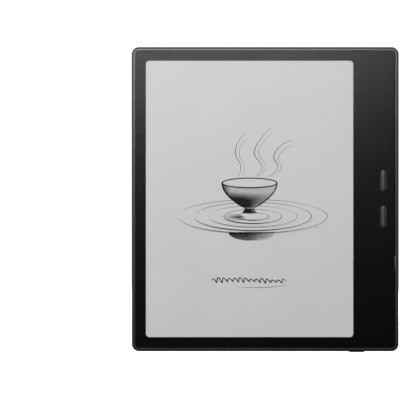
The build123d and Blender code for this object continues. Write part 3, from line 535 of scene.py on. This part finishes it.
def leather_panel(name, node, emblem=None):
    """A panel with a rolled edge, a slight crown and the slow swell of real hide."""
    low3, high3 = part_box(node)
    low, high = (low3.x, low3.z), (high3.x, high3.z)
    back, floor = high3.y, low3.y
    radius = 1.6 * MM
    edge_steps = [0.0, 0.07 * MM, 0.18 * MM, 0.34 * MM, 0.60 * MM, 1.0 * MM, 1.6 * MM]
    xs = steps_along(low[0], high[0], 1.1 * MM, edge_steps)
    zs = steps_along(low[1], high[1], 1.1 * MM, edge_steps)
    if emblem:
        fine = 0.2 * MM
        (ex, ez), half_straight, eradius, line = emblem
        reach_x, reach_z = eradius + 0.5 * MM, half_straight + eradius + 0.5 * MM
        keep_x = [x for x in xs if abs(x - ex) > reach_x + 0.15 * MM]
        keep_z = [z for z in zs if abs(z - ez) > reach_z + 0.15 * MM]
        nx, nz = round(2 * reach_x / fine), round(2 * reach_z / fine)
        xs = sorted(keep_x + [ex - reach_x + 2 * reach_x * n / nx for n in range(nx + 1)])
        zs = sorted(keep_z + [ez - reach_z + 2 * reach_z * n / nz for n in range(nz + 1)])
    roll, roll_drop = 0.30 * MM, 0.22 * MM
    calm_reach, swell_depth, press_depth = 1.2 * MM, 0.035 * MM, 0.13 * MM
    bm = bmesh.new()
    top, bottom = {}, {}
    for i, x in enumerate(xs):
        for k, z in enumerate(zs):
            px, pz = squeeze(x, z, low, high, radius)
            inside = max(0.0, corner_distance(px, pz, low, high, radius))
            share = min(1.0, inside / roll)
            drop = roll_drop * (1 - math.sqrt(max(0.0, 1 - (1 - share) ** 2)))
            calm = min(1.0, inside / calm_reach)
            swell = noise.noise((px / (2.6 * MM), 3.1, pz / (2.6 * MM))) * 0.5
            swell += noise.noise((px / (1.3 * MM), 7.7, pz / (1.3 * MM))) * 0.5
            lift = calm * swell_depth * (swell - 0.55)
            pressed = 0.0
            if emblem:
                pressed = press_depth * emblem_press(px, pz, *emblem)
            y = back - drop + min(0.0, lift) - pressed
            top[i, k] = bm.verts.new((px, y, pz))
    last_i, last_k = len(xs) - 1, len(zs) - 1
    for i in range(last_i):
        for k in range(last_k):
            bm.faces.new((top[i, k], top[i, k + 1], top[i + 1, k + 1], top[i + 1, k]))
    border = [(i, 0) for i in range(last_i)] + [(last_i, k) for k in range(last_k)]
    border += [(i, last_k) for i in range(last_i, 0, -1)] + [(0, k) for k in range(last_k, 0, -1)]
    for key in border:
        v = top[key].co
        bottom[key] = bm.verts.new((v.x, floor, v.z))
    for a, b in zip(border, border[1:] + border[:1]):
        bm.faces.new((top[a], top[b], bottom[b], bottom[a]))
    bm.faces.new([bottom[key] for key in border])
    for face in bm.faces:
        face.smooth = len(face.verts) == 4
    obj = mesh_object(name, bm, leather_finish)
    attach(obj, "housing")
    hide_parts(node)


grip_low, grip_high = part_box("grip_leather_panel")
emblem_centre = ((grip_low.x + grip_high.x) / 2, 0.0)
leather_panel("main_leather", "main_leather_panel")
leather_panel("grip_leather", "grip_leather_panel", (emblem_centre, 7.0 * MM, 2.5 * MM, 0.5 * MM))

# ------------------------------------------------------------------ the page on the screen
window_low, window_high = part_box("optical_adhesive")
page_front = window_low.y + 0.075 * MM
page_back = window_high.y


def flat_slab(name, outline, front, back, mat):
    """A thin closed plate over an outline in X and Z."""
    bm = bmesh.new()
    near = [bm.verts.new((x, front, z)) for x, z in outline]
    far = [bm.verts.new((x, back, z)) for x, z in outline]
    bm.faces.new(near)
    bm.faces.new(list(reversed(far)))
    for n in range(len(outline)):
        m = (n + 1) % len(outline)
        bm.faces.new((near[n], near[m], far[m], far[n]))
    return mesh_object(name, bm, mat)


window_outline = rounded_outline((window_low.x, window_low.z), (window_high.x, window_high.z),
                                 1.8 * MM, 20 * MM)
page = flat_slab("screen_page", window_outline, page_front, page_back, page_finish)
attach(page, "housing")
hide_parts("optical_adhesive")


# ------------------------------------------------------------------ bezel print, set a hair behind the lens
def set_back(name, node, gap, finish):
    """The node's own shape, its front face moved back by gap so that it shares none with the lens."""
    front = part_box(node)[0].y
    bm = bmesh.new()
    bm.from_mesh(nodes[node].data)
    for v in bm.verts:
        if v.co.y < front + gap:
            v.co.y = front + gap
    for face in bm.faces:
        face.smooth = False
    obj = mesh_object(name, bm, finish)
    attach(obj, "housing")
    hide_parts(node)


set_back("bezel_print", "lens_mask", 0.02 * MM, print_finish)


# ------------------------------------------------------------------ page keys
key_flange = 0.4 * MM


def pill_ring(bm, centre, half_straight, radius, y, arc_steps=14):
    """A ring of vertices round an upright round-ended outline."""
    ring = []
    for end in (1, -1):
        for step in range(arc_steps + 1):
            angle = math.pi * step / arc_steps + (0 if end == 1 else math.pi)
            ring.append(bm.verts.new((centre[0] + radius * math.cos(angle), y,
                                      centre[1] + end * half_straight + radius * math.sin(angle))))
    return ring


def page_key(name, node, body):
    """A key with a crowned front on its hidden flange."""
    low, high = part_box(node)
    centre = ((low.x + high.x) / 2, (low.z + high.z) / 2)
    cap_radius, cap_half = 1.525 * MM, 4.125 * MM
    flange_radius = (high.x - low.x) / 2
    flange_half = (high.z - low.z) / 2 - flange_radius
    rise = 0.60 * MM
    bend = (cap_radius ** 2 + rise ** 2) / (2 * rise)
    bm = bmesh.new()
    rings = [pill_ring(bm, centre, flange_half, flange_radius, high.y),
             pill_ring(bm, centre, flange_half, flange_radius, high.y - key_flange),
             pill_ring(bm, centre, cap_half, cap_radius, high.y - key_flange),
             pill_ring(bm, centre, cap_half, cap_radius, low.y + rise)]
    sharp = len(rings) - 1
    for share in (0.97, 0.92, 0.85, 0.75, 0.62, 0.48, 0.33, 0.18, 0.06):
        reach = cap_radius * share
        rings.append(pill_ring(bm, centre, cap_half, reach, low.y + bend - math.sqrt(bend ** 2 - reach ** 2)))
    for n, (a, b) in enumerate(zip(rings, rings[1:])):
        for i in range(len(a)):
            k = (i + 1) % len(a)
            face = bm.faces.new((a[i], a[k], b[k], b[i]))
            face.smooth = n >= sharp
    bm.faces.new(rings[0])
    bm.faces.new(list(reversed(rings[-1])))
    obj = mesh_object(name, bm, button_finish)
    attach(obj, body)
    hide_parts(node)


page_key("page_key_upper", "page_button_upper", "page_button_upper")
page_key("page_key_lower", "page_button_lower", "page_button_lower")


# ------------------------------------------------------------------ contacts in the USB-C port
def slabs(name, boxes, finish, body):
    """Small closed blocks in one piece, each given by two corners."""
    bm = bmesh.new()
    for a, b in boxes:
        made = bmesh.ops.create_cube(bm, size=1.0)["verts"]
        for v in made:
            v.co = Vector([(a[i] + b[i]) / 2 + v.co[i] * (b[i] - a[i]) for i in range(3)])
    obj = mesh_object(name, bm, finish)
    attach(obj, body)


tongue_low, tongue_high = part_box("usb_port_tongue")
tongue_middle = (tongue_low + tongue_high) / 2
contacts = []
for side in (-1, 1):
    face = tongue_middle.y + side * 0.35 * MM
    for n in range(12):
        z = tongue_middle.z + (n - 5.5) * 0.5 * MM
        contacts.append(((tongue_high.x - 3.2 * MM, face, z - 0.125 * MM),
                         (tongue_high.x - 0.4 * MM, face + side * 0.03 * MM, z + 0.125 * MM)))
slabs("usb_contacts", contacts, gold, "housing")

# ------------------------------------------------------------------ the drawing on the page
# A plain drawing of our own: a tea bowl on still water, three wisps of steam and a pen wave.
# Points are in millimetres from the middle of the housing, X to the right and Z up.
rng = random.Random(20)
tones = (0.010, 0.045, 0.105, 0.19, 0.30, 0.43, 0.56)
layers = [bmesh.new() for _ in tones]
stroke_count = 0


def tone_layer(value):
    """The mesh of the drawn tone nearest to an albedo."""
    return layers[min(range(len(tones)), key=lambda n: abs(tones[n] ** 0.5 - max(0.0, value) ** 0.5))]


def curve_points(points, steps=10):
    """A smooth line through the points."""
    padded = [points[0]] + list(points) + [points[-1]]
    line = []
    for n in range(1, len(padded) - 2):
        p0, p1, p2, p3 = [Vector(p) for p in padded[n - 1:n + 3]]
        for step in range(steps):
            t = step / steps
            line.append(0.5 * ((2 * p1) + (p2 - p0) * t + (2 * p0 - 5 * p1 + 4 * p2 - p3) * t * t
                               + (3 * p1 - p0 - 3 * p2 + p3) * t ** 3))
    line.append(Vector(padded[-1]))
    return line


def stroke(value, line, width, taper=0.25, thin=0.25):
    """One pen stroke: a thin closed ribbon that thins out at both ends. Width is in millimetres."""
    global stroke_count
    stroke_count += 1
    bm = tone_layer(value)
    front = page_front - (0.045 - 0.04 * value - 0.000008 * (stroke_count % 900)) * MM
    count = len(line)
    rows = []
    for n, point in enumerate(line):
        ahead = line[min(n + 1, count - 1)] - line[max(n - 1, 0)]
        if ahead.length < 1e-9:
            ahead = Vector((1, 0))
        side = Vector((-ahead.y, ahead.x)).normalized()
        share = n / (count - 1)
        body = min(1.0, share / taper, (1 - share) / taper) if taper else 1.0
        half = max(0.02, width / 2 * (thin + (1 - thin) * body))
        rows.append([
            bm.verts.new(((point.x + side.x * half * s) * MM, y, (point.y + side.y * half * s) * MM))
            for s, y in ((-1, front), (1, front), (1, page_front), (-1, page_front))
        ])
    for a, b in zip(rows, rows[1:]):
        for m in range(4):
            k = (m + 1) % 4
            bm.faces.new((a[m], a[k], b[k], b[m]))
    bm.faces.new(rows[0])
    bm.faces.new(list(reversed(rows[-1])))


def shaded(point_of, shade_of, rows, columns, width):
    """Fills a patch with short strokes along u, in tones that shade_of gives, 0 clear to 1 dark."""
    for row in range(rows):
        v = (row + 0.5) / rows
        for column in range(columns):
            u0, u1 = column / columns, (column + 1) / columns
            dark = shade_of((u0 + u1) / 2, v) + rng.uniform(-0.03, 0.03)
            if dark < 0.05:
                continue
            value = 0.76 * (1 - min(1.0, dark)) ** 1.5
            spill = 0.12 / columns
            line = [Vector(point_of(u, v)) for u in (u0 - spill, (u0 + u1) / 2, u1 + spill)]
            stroke(value, line, width, 0)


def oval_point(cx, cz, rx, rz, degrees):
    """A point of an ellipse."""
    angle = math.radians(degrees)
    return (cx + rx * math.cos(angle), cz + rz * math.sin(angle))


def oval(cx, cz, rx, rz, start, end, steps=72):
    """Part of an ellipse, from start to end degrees."""
    return [Vector(oval_point(cx, cz, rx, rz, start + (end - start) * n / steps)) for n in range(steps + 1)]


def smooth(low, high, value):
    """0 below low, 1 above high, and a smooth rise between them."""
    t = max(0.0, min(1.0, (value - low) / (high - low)))
    return t * t * (3 - 2 * t)


# Bowl: shaded body, rim and foot
bowl_x, rim_z = -8.0, 8.3
rim_rx, rim_rz = 14.0, 2.5
foot_z, foot_rx = -4.2, 2.7


def bowl_half(share):
    """Half the bowl's width, from the foot at 0 to the rim at 1."""
    return foot_rx + (rim_rx - foot_rx) * math.sin(share * math.pi / 2) ** 0.86


def bowl_point(u, v):
    """The bowl's outside: u goes round its visible half, v from the foot to the rim."""
    half = bowl_half(v)
    angle = math.pi * (1 + u)
    squash = rim_rz * half / rim_rx * (0.35 + 0.65 * v)
    return (bowl_x + half * math.cos(angle), foot_z + (rim_z - foot_z) * v + squash * math.sin(angle))


def bowl_shade(u, v):
    """Dark low on the left, a pale belly on the right and a soft dark edge."""
    low_left = (1 - smooth(0.30, 0.98, v)) * (1 - 0.55 * smooth(0.35, 0.85, u))
    left_side = (1 - smooth(0.02, 0.36, u)) * 0.85
    right_side = smooth(0.90, 1.0, u) * 0.75
    return min(0.97, max(low_left * 1.02, left_side, right_side, 0.10))


shaded(bowl_point, bowl_shade, 46, 40, 0.42)
stroke(0.01, oval(bowl_x, rim_z, rim_rx, rim_rz, 0, 360), 0.52, 0)
stroke(0.01, oval(bowl_x, rim_z, rim_rx, rim_rz, 150, 215), 0.80, 0.4)
stroke(0.01, oval(bowl_x, rim_z, rim_rx, rim_rz, -30, 25), 0.70, 0.4)
stroke(0.19, oval(bowl_x, rim_z - 0.3, rim_rx - 0.9, rim_rz - 0.6, 185, 355), 0.30)
for side in (0.0, 1.0):
    wall = [Vector(bowl_point(side, 1 - n / 30)) for n in range(31)]
    stroke(0.01, wall, 0.85 if side == 0 else 0.62, 0.1, 0.6)
foot_drop = 2.3


def foot_point(u, v):
    """The foot ring, from its lower edge at 0 to the bowl at 1."""
    half = foot_rx + 0.9 * (1 - v) ** 2 - 0.35 * math.sin(math.pi * v)
    angle = math.pi * (1 + u)
    return (bowl_x + half * math.cos(angle), foot_z - foot_drop * (1 - v) + 0.55 * math.sin(angle))


shaded(foot_point, lambda u, v: 0.96 - 0.45 * smooth(0.45, 0.95, u), 12, 14, 0.30)
stroke(0.01, oval(bowl_x, foot_z - foot_drop, foot_rx + 0.9, 0.62, 180, 360), 0.45, 0.1, 0.6)

# Still water: rings about the foot, a soft shadow and the bowl's dark reflection at the front
water_x, water_z = -6.3, -8.8


def shadow_point(u, v):
    """The shadow that the bowl lays on the water, to the left of the foot."""
    return oval_point(water_x - 3.2, water_z + 0.6, 3.0 + 11.0 * v, 0.7 + 2.9 * v, 150 + 110 * u)


def shadow_shade(u, v):
    """Darkest by the foot, and fading to nothing at both ends."""
    return 0.80 * (1 - smooth(0.1, 1.0, v)) * math.sin(math.pi * min(1, max(0, u)))


shaded(shadow_point, shadow_shade, 16, 18, 0.34)
rings = [
    (8.2, 1.9, 0.05, 0.32),
    (14.8, 3.6, 0.045, 0.34),
    (22.5, 5.4, 0.20, 0.26),
    (30.0, 7.2, 0.045, 0.34),
    (38.0, 8.6, 0.105, 0.30),
]
for n, (rx, rz, tone, width) in enumerate(rings):
    stroke(tone, oval(water_x, water_z, rx, rz, 168 + 4 * n, 318 + 6 * n), width * 1.55, 0.35)
    stroke(tone + 0.06, oval(water_x, water_z, rx, rz, 300, 392 + 3 * n), width, 0.35)
    stroke(tone + 0.10, oval(water_x, water_z, rx, rz, 30, 172), width * 0.9, 0.3)
    stroke(0.43, oval(water_x + 0.5, water_z - 0.3, rx * 1.035, rz * 1.02, 200, 340), 0.22, 0.45)


def mirror_point(u, v):
    """The reflection under the front ring: a shallow bow, widest at its upper edge."""
    half = 11.6 * math.sqrt(max(0.0, 1 - v * v))
    return (-7.0 + half * (2 * u - 1), -17.0 - 4.3 * v + 0.25 * math.cos(math.pi * (u - 0.5)))


def mirror_shade(u, v):
    """Dark at the upper left, paler to the right and below."""
    return (0.98 - 0.30 * v) * (1 - 0.62 * smooth(0.35, 1.0, u))


shaded(mirror_point, mirror_shade, 14, 30, 0.36)
mirror_edge = [(-19.2, -16.7), (-13.0, -17.15), (-7.0, -17.3), (-1.0, -17.15), (5.2, -16.7)]
stroke(0.01, curve_points(mirror_edge, 12), 0.46, 0.3)

# Steam: slow wisps that lean and curl
wisps = [
    ((-13.5, 11.8), (-12.5, 17.0), (-15.2, 23.0), (-14.0, 29.0), (-9.6, 34.5)),
    ((-11.8, 11.6), (-10.6, 16.8), (-13.2, 22.6), (-12.2, 27.8), (-9.2, 31.2)),
    ((-5.0, 11.2), (-1.6, 16.6), (-5.6, 23.4), (-2.6, 30.6), (3.4, 36.8)),
    ((-3.4, 11.2), (0.4, 16.8), (-3.4, 23.2), (-0.8, 29.6), (4.2, 34.4)),
    ((1.0, 11.0), (6.4, 15.8), (4.4, 22.0), (8.2, 27.6), (14.2, 30.4)),
    ((2.8, 11.0), (8.2, 15.6), (6.6, 21.2), (10.2, 25.8), (14.6, 27.8)),
]
for n, wisp in enumerate(wisps):
    first = n % 2 == 0
    stroke(0.045 if first else 0.19, curve_points(wisp, 16), 0.34 if first else 0.22, 0.45)

# Pen wave under the drawing, with no letters in it
wave = []
for n in range(421):
    share = n / 420
    turn = 2 * math.pi * 13.5 * share
    size = 0.80 + 0.62 * abs(math.sin(3.3 * math.pi * share + 0.5)) ** 3 - 0.30 * share
    wave.append(Vector((-27.2 + 37.4 * share - 0.34 * math.sin(turn + 0.6),
                        -41.6 + 0.35 * math.sin(5 * share) + size * math.sin(turn))))
stroke(0.01, wave, 0.52, 0.04, 0.5)
stroke(0.105, curve_points([(-15, -44.7), (-6, -45.2), (4, -44.8), (12.5, -43.6)], 12), 0.26, 0.4)

for n, (tone, bm) in enumerate(zip(tones, layers)):
    drawn = graphite(f"drawn_tone_{n + 1}", tone * 0.80, tone * 1.20)
    piece = mesh_object(f"drawing_tone_{n + 1}", bm, drawn)
    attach(piece, "housing")

# ------------------------------------------------------------------ camera
view_width = 0.20441  # metres across the picture at the housing's front
camera_data = bpy.data.cameras.new("camera")
camera_data.lens = 250
camera_data.sensor_width = 36
camera_data.clip_start = 0.05
camera_data.clip_end = 50
camera = bpy.data.objects.new("camera", camera_data)
distance = view_width * camera_data.lens / camera_data.sensor_width
front_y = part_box("mid_frame")[0].y
camera.location = (-0.03334, front_y - distance, -0.0004)
camera.rotation_euler = (math.pi / 2, 0, 0)
bpy.context.scene.collection.objects.link(camera)
bpy.context.scene.camera = camera
bpy.context.scene.view_settings.view_transform = "Standard"


# ------------------------------------------------------------------ lights, sky and floor
def area_light(name, place, size, power, size_y=None):
    """A soft panel at place, aimed at the origin."""
    data = bpy.data.lights.new(name, "AREA")
    data.shape = "RECTANGLE" if size_y else "SQUARE"
    data.size = size
    if size_y:
        data.size_y = size_y
    data.energy = power
    obj = bpy.data.objects.new(name, data)
    obj.location = place
    obj.rotation_euler = (Vector() - Vector(place)).to_track_quat("-Z", "Y").to_euler()
    obj.visible_camera = False
    bpy.context.scene.collection.objects.link(obj)


area_light("key_front", (-0.168, -0.805, 0.409), 0.67, 9.7)
area_light("key_back", (0.168, 0.805, 0.409), 0.67, 9.7)
area_light("top_strip", (0.0, 0.0, 0.75), 0.8, 0.8, size_y=0.5)
area_light("right_fill", (0.85, -0.04, 0.12), 0.75, 1.1)
area_light("left_fill", (-0.85, -0.08, 0.12), 0.75, 1.9)
for side in (-1, 1):
    area_light(f"front_edge_{side}", (side * 0.9, -0.9, 0.25), 0.5, 0.5, size_y=0.8)
    area_light(f"back_edge_{side}", (side * 0.85, 0.85, 0.22), 0.5, 1.4, size_y=0.8)

world = bpy.data.worlds.new("studio")
world.use_nodes = True
bpy.context.scene.world = world
sky = world.node_tree
sky.nodes.clear()
sky_out = sky.nodes.new("ShaderNodeOutputWorld")
white = 1.05  # how bright the sky and the far floor look to the camera


def background(strength):
    """A plain white sky."""
    node = sky.nodes.new("ShaderNodeBackground")
    node.inputs["Color"].default_value = (1, 1, 1, 1)
    node.inputs["Strength"].default_value = strength
    return node.outputs["Background"]


# The camera sees a white sky, and the object is lit by a much darker one
path = sky.nodes.new("ShaderNodeLightPath")
mix = sky.nodes.new("ShaderNodeMixShader")
sky.links.new(path.outputs["Is Camera Ray"], mix.inputs["Fac"])
sky.links.new(background(0.012), mix.inputs[1])
sky.links.new(background(white), mix.inputs[2])
sky.links.new(mix.outputs["Shader"], sky_out.inputs["Surface"])

# The camera sees a pale floor that fades into the sky, and the object is lit by a darker one
floor_mat, floor_tree, floor_shader = new_material("pale_floor")
floor_vector = coords(floor_tree)
floor_tone = noise_of(floor_tree, floor_vector, 0.2, 2.0)
floor_tree.links.new(ramp(floor_tree, floor_tone, [(0.3, grey(0.78)), (0.7, grey(0.82))]),
                     floor_shader.inputs["Base Color"])
floor_shader.inputs["Roughness"].default_value = 0.9
glow = floor_tree.nodes.new("ShaderNodeEmission")
glow.inputs["Color"].default_value = (1, 1, 1, 1)
far = floor_tree.nodes.new("ShaderNodeVectorMath")
far.operation = "LENGTH"
floor_tree.links.new(floor_vector, far.inputs[0])
near_reach, far_reach = 0.10, 0.45  # metres from the origin, over which the glow rises
fade = spread(floor_tree, far.outputs["Value"], 0.88, white, near_reach, far_reach)
floor_tree.links.new(fade, glow.inputs["Strength"])
dim = floor_tree.nodes.new("ShaderNodeBsdfDiffuse")
dim.inputs["Color"].default_value = (*grey(0.035), 1)
floor_path = floor_tree.nodes.new("ShaderNodeLightPath")
plain = floor_tree.nodes.new("ShaderNodeMixShader")
both = floor_tree.nodes.new("ShaderNodeAddShader")
floor_out = next(n for n in floor_tree.nodes if n.type == "OUTPUT_MATERIAL")
floor_tree.links.new(floor_shader.outputs["BSDF"], both.inputs[0])
floor_tree.links.new(glow.outputs["Emission"], both.inputs[1])
floor_tree.links.new(floor_path.outputs["Is Camera Ray"], plain.inputs["Fac"])
floor_tree.links.new(dim.outputs["BSDF"], plain.inputs[1])
floor_tree.links.new(both.outputs["Shader"], plain.inputs[2])
floor_tree.links.new(plain.outputs["Shader"], floor_out.inputs["Surface"])

floor_bm = bmesh.new()
floor_reach, floor_z = 6, cad_box[0][2]
floor_bm.faces.new([floor_bm.verts.new((x * floor_reach, y * floor_reach, floor_z))
                    for x, y in ((-1, -1), (1, -1), (1, 1), (-1, 1))])
floor = mesh_object("floor", floor_bm, floor_mat)
